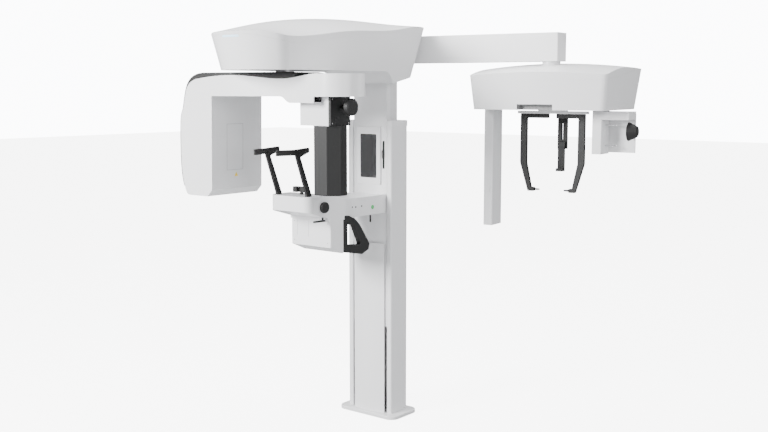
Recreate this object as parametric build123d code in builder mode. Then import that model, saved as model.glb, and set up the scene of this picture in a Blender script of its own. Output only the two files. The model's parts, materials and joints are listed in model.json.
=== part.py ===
# Panoramic dental x-ray machine with a cephalometric arm.
# Millimetres. +X points to the ceph side, -Y to the patient, +Z up.
# The origin is the centre of the base plate's underside.
from build123d import *
from math import cos, radians, sin
import os

os.makedirs("parts", exist_ok=True)

# ---------------------------------------------------------------- driving sizes
# base plate and fixed column
plate_width = 396.0
plate_depth = 232.0
plate_thickness = 19.2
plate_corner = 48.0
anchor_hole_radius = 7.0
anchor_spacing_x = 170.0
anchor_spacing_y = 60.0
column_width = 301.4
column_front_y = -73.0
column_depth = 159.4
column_corner = 34.0
column_lip_corner = 9.0
channel_width = 236.0
channel_floor_y = 66.0
column_top_z = 1594.5
cap_height = 31.0
cap_overhang = 2.0
chamber_wall = 5.0

# lower front cover
cover_width = 210.0
cover_bow = 14.0
cover_wall = 3.0
cover_top_z = 962.0
cover_step = 3.0

# moving column
slide_gap = 3.0
inner_wall = 6.0
inner_back_y = 45.0
inner_bottom_z = 500.0
head_bottom_z = 1883.0
head_wall = 4.0
touch_gap = 0.3
inner_top_z = head_bottom_z + head_wall
inner_corner = 24.0
front_return_y = -36.0
front_edge_y = -64.0
panel_split_z = 1592.8
panel_gap = 0.8
panel_bottom_z = 505.0

# lift drive
rod_radius = 16.0
running_gap = 0.05
lift_tube_radius = 29.0
lift_tube_top_z = 640.0
rod_bottom_z = 300.0
lift_yoke_z = 1000.0
rail_spacing = 130.0
rail_width = 14.0
rail_depth = 9.0
rail_bottom_z = 120.0
carriage_block_length = 90.0

# mirror, its frame and the positioning light
mirror_width = 111.0
mirror_bottom_z = 1317.0
mirror_top_z = 1552.0
mirror_thickness = 3.0
mirror_frame_width = 161.0
mirror_frame_bottom_z = 1280.0
mirror_frame_depth = 2.5
light_slot_x = 95.0
light_slot_width = 13.0
light_slot_bottom_z = 1366.0
light_slot_top_z = 1518.0
light_lever_length = 46.0
light_lever_z = 1445.0

# overhead housing
axis_y = -719.0
head_half_width_low = 215.0
head_half_width_high = 247.0
head_nose_low_y = -1044.0
head_nose_high_y = -1091.0
head_rear_low_y = 50.0
head_rear_high_y = 98.0
head_high_z = 2083.0
head_bow = 112.0
head_corner = 84.0
seam_gap = 0.6
groove_depth = 1.5
neck_front_y = -212.0
neck_low_y = -130.0
neck_low_z = 1822.0
neck_rear_z = 1862.0

# C-arm
arm_half_width = 174.0
tube_outer_x = -577.0
tube_inner_x = -340.0
tube_bottom_z = 1254.0
tube_seam_z = 1730.0
beam_bottom_z = 1758.5
beam_top_z = 1857.0
spine_top_z = 1875.0
drum_x = 347.0
drum_radius = 123.0
bulge_depth = 30.0
bulge_end_x = 300.0
drum_rise = 8.0
outer_foot_x = -519.0
arm_wall = 4.0
shaft_radius = 45.0

# sensor and its mount
mount_left_x = 162.0
mount_right_x = 345.0
mount_half_depth = 70.0
mount_bottom_z = 1622.0
mount_step_z = 1726.0
dock_thickness = 13.0
sensor_front_x = 247.0
sensor_flat = 84.0
sensor_chamfer = 47.0
sensor_half_width = 70.5
sensor_bottom_z = 1292.0
sensor_knob_radius = 41.0
sensor_knob_z = 1710.0
sensor_knob_y = -708.0

# patient support
support_half_width = 110.0
support_bottom_z = 1132.0
support_top_z = 1231.0
box_half_width = 135.0
box_front_y = -543.0
box_back_y = -443.0
box_front_bottom_z = 997.0
box_back_bottom_z = 956.0
tray_front_y = -706.0
tray_back_y = -551.0
tray_top_z = 1266.0
tray_front_bottom_z = 1190.0
tray_back_bottom_z = 1146.0
tray_corner = 44.0
support_wall = 4.0
button_radius = 4.0
start_button_radius = 8.5
button_travel = 2.0

# head holder
temple_x = 102.0
temple_foot_y = -700.0
temple_top_y = -742.0
temple_top_z = 1502.0
temple_thickness = 13.0
pad_front_y = -863.0
pad_inner_x = 66.0
chin_width = 96.0
chin_y = -613.0
chin_bottom_z = 1278.0
chin_top_z = 1306.0

# ceph arm and ceph unit
ceph_arm_angle = 6.2
ceph_arm_start = (244.8, 93.0)
ceph_arm_length = 762.0
ceph_arm_depth = 110.0
ceph_arm_bottom_z = 1930.0
ceph_arm_height = 142.0
ceph_angle = 7.0
ceph_pivot = (940.4, 224.1)
ceph_bottom_z = 1691.0
ceph_seam_z = 1838.0
ceph_crown_z = 1917.0
ceph_left = -345.0
ceph_right = 350.0
ceph_front = -190.0
ceph_rear = 300.0
ceph_bow = 24.0
ceph_corner = 60.0
ceph_wall = 4.0
notch_width = 186.0
notch_height = 28.0
post_left = -342.0
post_width = 51.0
post_half_depth = 57.0
post_bottom_z = 1087.0
bracket_left = 242.0
bracket_body = 49.0
bracket_right = 426.0
bracket_bottom_z = 1476.0
bracket_plate_bottom_z = 1482.0
bracket_top_thickness = 40.0
bracket_plate = 10.0
ceph_knob_radius = 46.0
ear_centre = 14.0
ear_reach = 172.0
ear_arm_width = 33.0
ear_arm_depth = 22.0
ear_bottom_z = 1268.0
nasion_offset = 130.0
nasion_width = 50.0
nasion_split_z = 1486.0
nasion_bottom_z = 1372.0
lever_x = 108.0
lever_pin_radius = 5.0
handle_inner_x = 107.0
handle_thickness = 28.0

column_top = column_top_z + cap_height
column_back_y = column_front_y + column_depth
column_mid_y = column_front_y + column_depth / 2


def save(piece, label):
    """Label a finished piece and write its STEP file."""
    piece.part.label = label
    export_step(piece.part, f"parts/{label}.step")


# ---------------------------------------------------------------- fixed column
with BuildPart() as base_plate:
    with BuildSketch() as outline:
        RectangleRounded(plate_width, plate_depth, plate_corner)
        with GridLocations(anchor_spacing_x, anchor_spacing_y, 2, 2):
            Circle(anchor_hole_radius, mode=Mode.SUBTRACT)
    extrude(amount=plate_thickness)
    top_edges = base_plate.faces().sort_by(Axis.Z)[-1].outer_wire().edges()
    fillet(top_edges, 4.0)
save(base_plate, "base_plate")


def column_ring(grow):
    """Section of the open column: a deep channel whose mouth faces the patient."""
    with BuildSketch(mode=Mode.PRIVATE) as ring:
        with Locations((0, column_mid_y)):
            Rectangle(column_width + 2 * grow, column_depth + 2 * grow)
        back = ring.vertices().group_by(Axis.Y)[-1]
        fillet(back, column_corner)
        mouth_centre = (column_front_y - 50 + channel_floor_y) / 2
        with Locations((0, mouth_centre)):
            Rectangle(channel_width, channel_floor_y - column_front_y + 50, mode=Mode.SUBTRACT)
        lips = ring.vertices().group_by(Axis.Y)[0]
        fillet(lips, column_lip_corner)
    return ring.sketch


with BuildPart() as column_profile:
    with BuildSketch(Plane.XY.offset(plate_thickness)):
        add(column_ring(0))
        side_wall = (column_width - channel_width) / 2
        with Locations((-(channel_width + side_wall) / 2, -4), ((channel_width + side_wall) / 2, -4)):
            RectangleRounded(side_wall - 2 * chamber_wall, 110, 4, mode=Mode.SUBTRACT)
    extrude(amount=column_top_z - plate_thickness)
save(column_profile, "column_profile")

with BuildPart() as column_cap:
    with BuildSketch(Plane.XY.offset(column_top_z)):
        add(column_ring(cap_overhang))
    extrude(amount=cap_height)
    rim = column_cap.faces().sort_by(Axis.Z)[-1].edges()
    chamfer(rim, 2.0)
save(column_cap, "column_cap")


def bowed_strip(half_width, edge_y, bow, wall):
    """Plan of a cover that bulges towards the patient between two edges."""
    with BuildSketch(mode=Mode.PRIVATE) as strip:
        with BuildLine():
            ThreePointArc((-half_width, edge_y), (0, edge_y - bow), (half_width, edge_y))
            Line((half_width, edge_y), (half_width, edge_y + wall))
            ThreePointArc((half_width, edge_y + wall), (0, edge_y - bow + wall), (-half_width, edge_y + wall))
            Line((-half_width, edge_y + wall), (-half_width, edge_y))
        make_face()
    return strip.sketch


cover_edge_y = column_front_y - cover_step
with BuildPart() as lower_front_cover:
    with BuildSketch(Plane.XY.offset(plate_thickness)):
        add(bowed_strip(cover_width / 2, cover_edge_y, cover_bow, cover_wall))
    extrude(amount=cover_top_z - plate_thickness)
save(lower_front_cover, "lower_front_cover")

rail_front_y = channel_floor_y - rail_depth
with BuildPart() as guide_rails:
    with BuildSketch(Plane.XY.offset(rail_bottom_z)):
        with Locations((-rail_spacing / 2, (rail_front_y + channel_floor_y) / 2),
                       (rail_spacing / 2, (rail_front_y + channel_floor_y) / 2)):
            Rectangle(rail_width, rail_depth)
    extrude(amount=column_top_z - 40 - rail_bottom_z)
save(guide_rails, "guide_rails")

lift_foot_z = plate_thickness + 100
with BuildPart() as lift_motor:
    with BuildSketch(Plane.XY.offset(plate_thickness)):
        with Locations((0, -5)):
            Rectangle(2 * lift_tube_radius + 10, 2 * lift_tube_radius + 6)
    extrude(amount=60)
    with BuildSketch(Plane.XY.offset(plate_thickness + 60)):
        with Locations((0, -5)):
            Circle(lift_tube_radius + 1)
    extrude(amount=40)
    with BuildSketch(Plane.XZ.offset(28)):
        with Locations((-70, plate_thickness + 34)):
            Circle(27)
    extrude(amount=-70)
    with BuildSketch(Plane.YZ.offset(-70)):
        with Locations((-5, plate_thickness + 34)):
            Circle(14)
    extrude(amount=40)
    # sleeve in which the rod slides
    with BuildSketch(Plane.XY.offset(lift_foot_z)):
        with Locations((0, -5)):
            Circle(lift_tube_radius)
    extrude(amount=lift_tube_top_z - lift_foot_z)
    with BuildSketch(Plane.XY.offset(lift_foot_z + 12)):
        with Locations((0, -5)):
            Circle(rod_radius + running_gap)
    extrude(amount=lift_tube_top_z - lift_foot_z, mode=Mode.SUBTRACT)
save(lift_motor, "lift_motor")

with BuildPart() as cable_gland:
    with BuildSketch(Plane.XZ.offset(-column_back_y)):
        with Locations((0, 90)):
            RegularPolygon(15, 6)
    extrude(amount=-6)
    with BuildSketch(Plane.XZ.offset(-column_back_y - 6)):
        with Locations((0, 90)):
            Circle(11)
    extrude(amount=-6)
    with BuildSketch(Plane.XZ.offset(-column_back_y)):
        with Locations((0, 90)):
            Circle(6.5)
    extrude(amount=-12, mode=Mode.SUBTRACT)
save(cable_gland, "cable_gland")

# ---------------------------------------------------------------- moving column
inner_half = channel_width / 2 - slide_gap
inner_front_y = front_edge_y + cover_wall + 1
with BuildPart() as inner_column:
    with BuildSketch(Plane.XY.offset(inner_bottom_z)) as tube:
        with Locations((0, (inner_front_y + inner_back_y) / 2)):
            Rectangle(2 * inner_half - 8, inner_back_y - inner_front_y)
        fillet(tube.vertices().group_by(Axis.Y)[-1], inner_corner)
        offset(amount=-inner_wall, mode=Mode.SUBTRACT)
    extrude(amount=inner_top_z - inner_bottom_z)
save(inner_column, "inner_column")


def front_panel(bottom_z, top_z):
    """One length of the moving front cover, with short returns down both sides."""
    with BuildPart(mode=Mode.PRIVATE) as panel:
        with BuildSketch(Plane.XY.offset(bottom_z)):
            with BuildLine():
                ThreePointArc((-inner_half, front_edge_y), (0, front_edge_y - cover_bow), (inner_half, front_edge_y))
                Polyline((inner_half, front_edge_y), (inner_half, front_return_y),
                         (inner_half - 3.5, front_return_y), (inner_half - 3.5, front_edge_y + cover_wall))
                ThreePointArc((inner_half - 3.5, front_edge_y + cover_wall),
                              (0, front_edge_y + cover_wall - cover_bow),
                              (3.5 - inner_half, front_edge_y + cover_wall))
                Polyline((3.5 - inner_half, front_edge_y + cover_wall), (3.5 - inner_half, front_return_y),
                         (-inner_half, front_return_y), (-inner_half, front_edge_y))
            make_face()
        extrude(amount=top_z - bottom_z)
        # ribs that stand on the moving column
        rib_gap = inner_front_y - (front_edge_y + cover_wall - cover_bow)
        for rib_z in (bottom_z + 30, top_z - 50):
            with BuildSketch(Plane.XY.offset(rib_z)):
                with Locations((0, inner_front_y - rib_gap / 2)):
                    Rectangle(60, rib_gap)
            extrude(amount=20)
    return panel.part


front_centre_y = front_edge_y - cover_bow
with BuildPart() as lower_moving_cover:
    add(front_panel(panel_bottom_z, panel_split_z - panel_gap))
    with BuildSketch(Plane.XZ.offset(front_edge_y * -1 - 20)):
        with Locations((light_slot_x, (light_slot_bottom_z + light_slot_top_z) / 2)):
            SlotOverall(light_slot_top_z - light_slot_bottom_z, light_slot_width, rotation=90)
        with Locations((14 - inner_half, 995)):
            Rectangle(8, 26)
    extrude(amount=60, mode=Mode.SUBTRACT)
save(lower_moving_cover, "lower_moving_cover")

with BuildPart() as upper_moving_cover:
    add(front_panel(panel_split_z, inner_top_z - 6))
save(upper_moving_cover, "upper_moving_cover")

frame_front_y = front_centre_y - touch_gap - mirror_frame_depth
frame_mid_z = (mirror_frame_bottom_z + panel_split_z) / 2
frame_height = panel_split_z - mirror_frame_bottom_z - 4
with BuildPart() as mirror_frame:
    with BuildSketch(Plane.XZ.offset(-frame_front_y)):
        with Locations((0, frame_mid_z)):
            RectangleRounded(mirror_frame_width, frame_height, 5)
    extrude(amount=frame_front_y - front_edge_y)
    with BuildSketch(Plane.XY.offset(panel_bottom_z)):
        with BuildLine():
            ThreePointArc((-inner_half, front_edge_y), (0, front_centre_y), (inner_half, front_edge_y))
            Polyline((inner_half, front_edge_y), (inner_half, 0), (-inner_half, 0), (-inner_half, front_edge_y))
        make_face()
    extrude(amount=inner_top_z - panel_bottom_z, mode=Mode.SUBTRACT)
    with BuildSketch(Plane.XZ.offset(-frame_front_y)):
        with Locations((0, (mirror_bottom_z + mirror_top_z) / 2)):
            RectangleRounded(mirror_width + 0.6, mirror_top_z - mirror_bottom_z + 0.6, 6.3)
    extrude(amount=-mirror_frame_depth + 0.6, mode=Mode.SUBTRACT)
save(mirror_frame, "mirror_frame")

with BuildPart() as mirror:
    with BuildSketch(Plane.XZ.offset(-frame_front_y - 0.4)):
        with Locations((0, (mirror_bottom_z + mirror_top_z) / 2)):
            RectangleRounded(mirror_width, mirror_top_z - mirror_bottom_z, 6)
    extrude(amount=-mirror_frame_depth + 1.0)
save(mirror, "mirror")

slot_mid_z = (light_slot_bottom_z + light_slot_top_z) / 2
slot_length = light_slot_top_z - light_slot_bottom_z
light_front_y = front_edge_y - 3.5
light_back_y = inner_front_y
with BuildPart() as light_track:
    with BuildSketch(Plane.XZ.offset(-light_front_y)):
        with Locations((light_slot_x, slot_mid_z)):
            SlotOverall(slot_length - 0.6, light_slot_width - 0.6, rotation=90)
    extrude(amount=light_front_y - light_back_y)
    with BuildSketch(Plane.XZ.offset(-light_front_y)):
        with Locations((light_slot_x, slot_mid_z)):
            SlotOverall(slot_length - 8, 5, rotation=90)
    extrude(amount=-6, mode=Mode.SUBTRACT)
save(light_track, "light_track")

with BuildPart() as light_lever:
    with BuildSketch(Plane.XZ.offset(-light_front_y + 0.4)):
        with Locations((light_slot_x, light_lever_z)):
            SlotOverall(light_lever_length, 10, rotation=90)
    extrude(amount=9)
    fillet(light_lever.faces().sort_by(Axis.Y)[0].edges(), 2.5)
    with BuildSketch(Plane.XZ.offset(-light_front_y + 0.4)):
        with Locations((light_slot_x, light_lever_z)):
            SlotOverall(light_lever_length - 14, 4.4, rotation=90)
    extrude(amount=-5.4)
save(light_lever, "light_lever")

with BuildPart() as lift_rod:
    with BuildSketch(Plane.XY.offset(lift_yoke_z)):
        with Locations((0, (inner_front_y + inner_back_y) / 2)):
            Rectangle(2 * inner_half - 8 - 2 * inner_wall, 50)
    extrude(amount=14)
    with BuildSketch(Plane.XY.offset(rod_bottom_z)):
        with Locations((0, -5)):
            Circle(rod_radius)
    extrude(amount=lift_yoke_z - rod_bottom_z)
save(lift_rod, "lift_rod")

block_front_y = inner_back_y
with BuildPart() as guide_blocks:
    for block_z in (inner_bottom_z + 30, inner_bottom_z + 380):
        with BuildSketch(Plane.XY.offset(block_z)):
            for side in (-1, 1):
                with Locations((side * rail_spacing / 2, (block_front_y + channel_floor_y - 2) / 2)):
                    Rectangle(rail_width + 20, channel_floor_y - 2 - block_front_y)
                with Locations((side * rail_spacing / 2, (rail_front_y + channel_floor_y) / 2)):
                    Rectangle(rail_width + 2 * touch_gap, rail_depth + 2 * touch_gap, mode=Mode.SUBTRACT)
        extrude(amount=carriage_block_length)
save(guide_blocks, "guide_blocks")


# ---------------------------------------------------------------- overhead housing
def lerp_at(z, low, high):
    """A plan size of the housing, which widens with height."""
    return low + (high - low) * (z - head_bottom_z) / (head_high_z - head_bottom_z)


def head_plan(z, inset):
    """Plan of the housing at a height: straight sides and a bowed nose."""
    half = lerp_at(z, head_half_width_low, head_half_width_high) - inset
    nose = lerp_at(z, head_nose_low_y, head_nose_high_y) + inset
    rear = lerp_at(z, head_rear_low_y, head_rear_high_y) - inset
    shoulder = nose + head_bow
    with BuildSketch(mode=Mode.PRIVATE) as plan:
        with BuildLine():
            ThreePointArc((-half, shoulder), (0, nose), (half, shoulder))
            Polyline((half, shoulder), (half, rear), (-half, rear), (-half, shoulder))
        make_face()
        front = plan.vertices().group_by(Axis.Y)[0]
        fillet(front, head_corner - inset)
        back = plan.vertices().group_by(Axis.Y)[-1]
        fillet(back, 40 - inset)
    return plan.sketch


# crown stations: place along Y, height at the sides, height of the ridge
crown_stations = (
    (-1130, 2042, 2044),
    (-1000, 2026, 2080),
    (-860, 2012, 2108),
    (-640, 2038, 2134),
    (-420, 2062, 2145),
    (-160, 2082, 2143),
    (140, 2083, 2117),
)
seam_points = ((-1140, 2049), (-1070, 2045), (-1020, 2028), (-900, 2006), (-770, 2018), (-595, 2041),
               (-411, 2064), (-241, 2079), (-76, 2084), (150, 2081))


def head_block(inset):
    """The overhead form: a crowned top, a tapering plan and the neck's curved underside."""
    with BuildPart(mode=Mode.PRIVATE) as block:
        for station_y, side_z, ridge_z in crown_stations:
            with BuildSketch(Plane.XZ.offset(-station_y)):
                with BuildLine():
                    ThreePointArc((-275, side_z - inset), (0, ridge_z - inset), (275, side_z - inset))
                    Polyline((275, side_z - inset), (275, 1700), (-275, 1700), (-275, side_z - inset))
                make_face()
        loft()
        for plan_z in (1760, 2180):
            with BuildSketch(Plane.XY.offset(plan_z)):
                add(head_plan(plan_z, inset))
        loft(mode=Mode.INTERSECT)
        with BuildSketch(Plane.YZ):
            with BuildLine():
                Line((-1300, head_bottom_z + inset), (neck_front_y, head_bottom_z + inset))
                Spline((neck_front_y, head_bottom_z + inset), (neck_front_y + 38, head_bottom_z - 9 + inset),
                       (neck_front_y + 62, head_bottom_z - 29 + inset), (neck_low_y, neck_low_z + inset),
                       tangents=[(1, 0), (0.35, -1)])
                Polyline((neck_low_y, neck_low_z + inset), (neck_low_y + 8, neck_low_z + inset),
                         (60, neck_rear_z + inset), (300, neck_rear_z + inset), (300, 1600), (-1300, 1600),
                         (-1300, head_bottom_z + inset))
            make_face()
        extrude(amount=400, both=True, mode=Mode.SUBTRACT)
    return block.part


def seam_side(shift, far_z):
    """Everything on one side of the wavy seam, as a solid to cut with."""
    with BuildPart(mode=Mode.PRIVATE) as side:
        with BuildSketch(Plane.YZ):
            with BuildLine():
                points = [(y, z + shift) for y, z in seam_points]
                Spline(*points)
                Polyline(points[-1], (points[-1][0], far_z), (points[0][0], far_z), points[0])
            make_face()
        extrude(amount=400, both=True)
    return side.part


head_outer = head_block(0)
head_inner = head_block(head_wall)
head_core = head_block(groove_depth)
# light bar let into the nose just under the seam's peak
light_bar_z = seam_points[1][1] - 9
light_bar_y = lerp_at(light_bar_z, head_nose_low_y, head_nose_high_y)
light_bar_length = 105.0
light_bar_height = 7.0
with BuildPart() as head_housing:
    add(head_outer)
    add(head_inner, mode=Mode.SUBTRACT)
    add(seam_side(0, 2400), mode=Mode.SUBTRACT)
    add(seam_side(-seam_gap, 2400) - head_core, mode=Mode.SUBTRACT)
    with BuildSketch(Plane.XY.offset(head_bottom_z - 5)):
        with Locations((0, axis_y)):
            Circle(shaft_radius + 8)
    extrude(amount=40, mode=Mode.SUBTRACT)
    with BuildSketch(Plane.XY.offset(1780)):
        with Locations((0, (front_centre_y - 6 + inner_back_y + 2) / 2)):
            Rectangle(2 * inner_half + 8, inner_back_y - front_centre_y + 10)
    extrude(amount=120, mode=Mode.SUBTRACT)
    with BuildSketch(Plane.XZ.offset(-light_bar_y + 10)):
        with Locations((0, light_bar_z)):
            SlotOverall(light_bar_length, light_bar_height)
    extrude(amount=-40, mode=Mode.SUBTRACT)
save(head_housing, "head_housing")

with BuildPart() as head_lid:
    add(head_outer)
    add(head_inner, mode=Mode.SUBTRACT)
    add(seam_side(0, 1500), mode=Mode.SUBTRACT)
save(head_lid, "head_lid")

with BuildPart() as status_light:
    with BuildSketch(Plane.XZ.offset(-light_bar_y)):
        with Locations((0, light_bar_z)):
            SlotOverall(light_bar_length, light_bar_height)
    extrude(amount=-12)
    add(head_block(-0.2), mode=Mode.INTERSECT)
save(status_light, "status_light")

frame_low_z = head_bottom_z + head_wall
frame_beam_height = 44.0
with BuildPart() as head_frame:
    with BuildSketch(Plane.XY.offset(frame_low_z)):
        with Locations((0, (axis_y + inner_back_y) / 2 - 30)):
            Rectangle(150, inner_back_y - axis_y + 60)
        with Locations((0, axis_y)):
            Circle(95)
            Circle(shaft_radius + 6, mode=Mode.SUBTRACT)
    extrude(amount=6)
    with BuildSketch(Plane.XY.offset(frame_low_z + 6)):
        with Locations((-62, (axis_y + inner_back_y) / 2), (62, (axis_y + inner_back_y) / 2)):
            Rectangle(14, inner_back_y - axis_y - 80)
    extrude(amount=frame_beam_height)
save(head_frame, "head_frame")

bearing_z = frame_low_z + 6
with BuildPart() as pivot_bearing:
    with BuildSketch(Plane.XY.offset(bearing_z)):
        with Locations((0, axis_y)):
            Circle(shaft_radius + 22)
            Circle(shaft_radius + running_gap, mode=Mode.SUBTRACT)
    extrude(amount=24)
save(pivot_bearing, "pivot_bearing")


# ---------------------------------------------------------------- C-arm
def arm_plan(inset):
    """Plan of the C-arm: a broad tube end that narrows to a round sensor end."""
    half = arm_half_width - inset
    radius = drum_radius - inset
    with BuildSketch(mode=Mode.PRIVATE) as plan:
        with BuildLine():
            Line((tube_outer_x - 60, axis_y - half), (tube_inner_x, axis_y - half))
            Spline((tube_inner_x, axis_y - half), (40, axis_y - radius - 4), (drum_x, axis_y - radius),
                   tangents=[(1, 0), (1, 0)])
            ThreePointArc((drum_x, axis_y - radius), (drum_x + radius, axis_y), (drum_x, axis_y + radius))
            Spline((drum_x, axis_y + radius), (40, axis_y + radius + 4), (tube_inner_x, axis_y + half),
                   tangents=[(-1, 0), (-1, 0)])
            Line((tube_inner_x, axis_y + half), (tube_outer_x - 60, axis_y + half))
            Line((tube_outer_x - 60, axis_y + half), (tube_outer_x - 60, axis_y - half))
        make_face()
    return plan.sketch


def arm_side(inset):
    """Side outline of the white C: the beam with the tube housing hanging at its outer end."""
    low = tube_bottom_z + inset
    bulge_z = beam_bottom_z - bulge_depth + inset
    with BuildSketch(mode=Mode.PRIVATE) as side:
        with BuildLine():
            Polyline((outer_foot_x, low), (tube_inner_x - 44, low), (tube_inner_x - 10 - inset, low + 34),
                     (tube_inner_x - inset, beam_bottom_z + inset), (80, beam_bottom_z + inset))
            Spline((80, beam_bottom_z + inset), (150, bulge_z), tangents=[(1, 0), (1, 0)])
            Polyline((150, bulge_z), (bulge_end_x, bulge_z), (bulge_end_x, beam_bottom_z + inset),
                     (drum_x + 200, beam_bottom_z + inset), (drum_x + 200, beam_top_z + drum_rise - inset),
                     (drum_x, beam_top_z + drum_rise - inset))
            Spline((drum_x, beam_top_z + drum_rise - inset), (140, beam_top_z - 13 - inset),
                   (-120, beam_top_z - inset), (-380, beam_top_z - 6 - inset), tangents=[(-1, 0.05), (-1, -0.1)])
            Spline((-380, beam_top_z - 6 - inset), (-520 + inset, 1803), (-553 + inset, 1700),
                   (tube_outer_x + inset, 1490), tangents=[(-1, -0.1), (0, -1)])
            Spline((tube_outer_x + inset, 1490), (-556 + inset, 1300), tangents=[(0, -1), (0.35, -1)])
            Spline((-556 + inset, 1300), (outer_foot_x, low), tangents=[(0.35, -1), (1, -0.1)])
        make_face()
    return side.sketch


def arm_block(inset):
    with BuildPart(mode=Mode.PRIVATE) as block:
        with BuildSketch(Plane.XZ.offset(-axis_y)):
            add(arm_side(inset))
        extrude(amount=300, both=True)
        with BuildSketch(Plane.XY.offset(1200)):
            add(arm_plan(inset))
        extrude(amount=800, mode=Mode.INTERSECT)
    return block.part


arm_outer = arm_block(0)
arm_inner = arm_block(arm_wall)
with BuildPart() as arm_fascia:
    add(arm_outer)
    add(arm_inner, mode=Mode.SUBTRACT)
    with BuildSketch(Plane.XY.offset(tube_seam_z)):
        with Locations(((tube_outer_x + tube_inner_x) / 2, axis_y)):
            Rectangle(tube_inner_x - tube_outer_x + 80, 800)
    extrude(amount=-600, mode=Mode.SUBTRACT)
    with BuildSketch(Plane.XY.offset(beam_top_z - 60)):
        with Locations((0, axis_y)):
            Circle(shaft_radius + 6)
    extrude(amount=100, mode=Mode.SUBTRACT)
save(arm_fascia, "arm_fascia")

with BuildPart() as tube_cover:
    add(arm_outer)
    add(arm_inner, mode=Mode.SUBTRACT)
    with BuildSketch(Plane.XY.offset(tube_seam_z)):
        Rectangle(3000, 3000)
    extrude(amount=400, mode=Mode.SUBTRACT)
    with BuildPart(mode=Mode.PRIVATE) as seam_band:
        with BuildSketch(Plane.XY.offset(tube_seam_z - seam_gap)):
            Rectangle(3000, 3000)
        extrude(amount=seam_gap)
        add(arm_block(groove_depth), mode=Mode.SUBTRACT)
    add(seam_band.part, mode=Mode.SUBTRACT)
    with BuildSketch(Plane.YZ.offset(tube_inner_x + 30)):
        Rectangle(6000, 6000)
    extrude(amount=1500, mode=Mode.SUBTRACT)
save(tube_cover, "tube_cover")

trim_thickness = 6.0
with BuildPart() as arm_spine:
    with BuildSketch(Plane.XZ.offset(-axis_y)):
        with BuildLine():
            Polyline((195, beam_top_z + 9), (110, spine_top_z), (-400, spine_top_z))
            Spline((-400, spine_top_z), (-526, 1812), (-553 - trim_thickness, 1700),
                   (tube_outer_x - trim_thickness, 1490), tangents=[(-1, -0.05), (0, -1)])
            Spline((tube_outer_x - trim_thickness, 1490), (-556 - trim_thickness, 1300),
                   tangents=[(0, -1), (0.35, -1)])
            Polyline((-556 - trim_thickness, 1300), (-500, 1300), (-450, 1800), (100, 1800), (195, beam_top_z + 9))
        make_face()
        add(arm_side(0), mode=Mode.SUBTRACT)
    extrude(amount=300, both=True)
    with BuildSketch(Plane.XY.offset(1200)):
        add(arm_plan(1))
    extrude(amount=800, mode=Mode.INTERSECT)
    with BuildSketch(Plane.XY.offset(spine_top_z - 60)):
        with Locations((0, axis_y)):
            Circle(shaft_radius + 3)
    extrude(amount=100, mode=Mode.SUBTRACT)
save(arm_spine, "arm_spine")

arm_frame_z = 1790.0
arm_frame_top_z = 1826.0
tube_unit_top_z = 1660.0
shaft_top_z = bearing_z + 24
with BuildPart() as arm_frame:
    with BuildSketch(Plane.XY.offset(arm_frame_z)):
        with Locations((-20, axis_y)):
            Rectangle(860, 120)
    extrude(amount=arm_frame_top_z - arm_frame_z)
    with BuildSketch(Plane.XY.offset(tube_unit_top_z)):
        with Locations((-440, axis_y)):
            Rectangle(20, 120)
    extrude(amount=arm_frame_z - tube_unit_top_z)
    with BuildSketch(Plane.XY.offset(beam_bottom_z + arm_wall)):
        with Locations((330, axis_y)):
            Rectangle(26, 90)
    extrude(amount=arm_frame_z - beam_bottom_z - arm_wall)
    # hollow shaft that turns in the overhead bearing
    with BuildSketch(Plane.XY.offset(arm_frame_top_z)):
        with Locations((0, axis_y)):
            Circle(shaft_radius)
            Circle(shaft_radius - 14, mode=Mode.SUBTRACT)
    extrude(amount=shaft_top_z - arm_frame_top_z)
save(arm_frame, "arm_frame")

with BuildPart() as tube_unit:
    with BuildSketch(Plane.XY.offset(1370)):
        with Locations((-455, axis_y)):
            RectangleRounded(150, 210, 18)
    extrude(amount=tube_unit_top_z - 1370)
    fillet(tube_unit.faces().sort_by(Axis.Z)[0].edges(), 10)
    with BuildSketch(Plane.YZ.offset(-380)):
        with Locations((axis_y, 1500)):
            Circle(34)
    extrude(amount=14)
    with BuildSketch(Plane.YZ.offset(-366)):
        with Locations((axis_y, 1500)):
            Rectangle(80, 150)
            Rectangle(12, 120, mode=Mode.SUBTRACT)
    extrude(amount=14)
save(tube_unit, "tube_unit")

with BuildPart() as sensor_mount:
    with BuildSketch(Plane.XY.offset(mount_bottom_z)):
        with Locations(((mount_left_x + mount_right_x) / 2, axis_y)):
            RectangleRounded(mount_right_x - mount_left_x, 2 * mount_half_depth, 5)
    extrude(amount=beam_bottom_z - bulge_depth - mount_bottom_z)
    with BuildSketch(Plane.XY.offset(beam_bottom_z - bulge_depth)):
        with Locations(((bulge_end_x + mount_right_x) / 2 + 1, axis_y)):
            Rectangle(mount_right_x - bulge_end_x - 2, 2 * mount_half_depth)
    extrude(amount=bulge_depth)
    with BuildSketch(Plane.XY.offset(mount_bottom_z + support_wall)):
        with Locations(((mount_left_x + mount_right_x) / 2, axis_y)):
            Rectangle(mount_right_x - mount_left_x - 2 * support_wall, 2 * (mount_half_depth - support_wall))
    extrude(amount=200, mode=Mode.SUBTRACT)
save(sensor_mount, "sensor_mount")

knob_stem_radius = 9.0
dock_right_x = mount_right_x + dock_thickness
with BuildPart() as dock_block:
    with BuildSketch(Plane.YZ.offset(mount_right_x)):
        with Locations((axis_y, (mount_bottom_z + beam_bottom_z) / 2)):
            RectangleRounded(2 * mount_half_depth, beam_bottom_z - mount_bottom_z, 3)
        with Locations((sensor_knob_y, sensor_knob_z)):
            Circle(knob_stem_radius + running_gap, mode=Mode.SUBTRACT)
    extrude(amount=dock_thickness)
save(dock_block, "dock_block")

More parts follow.
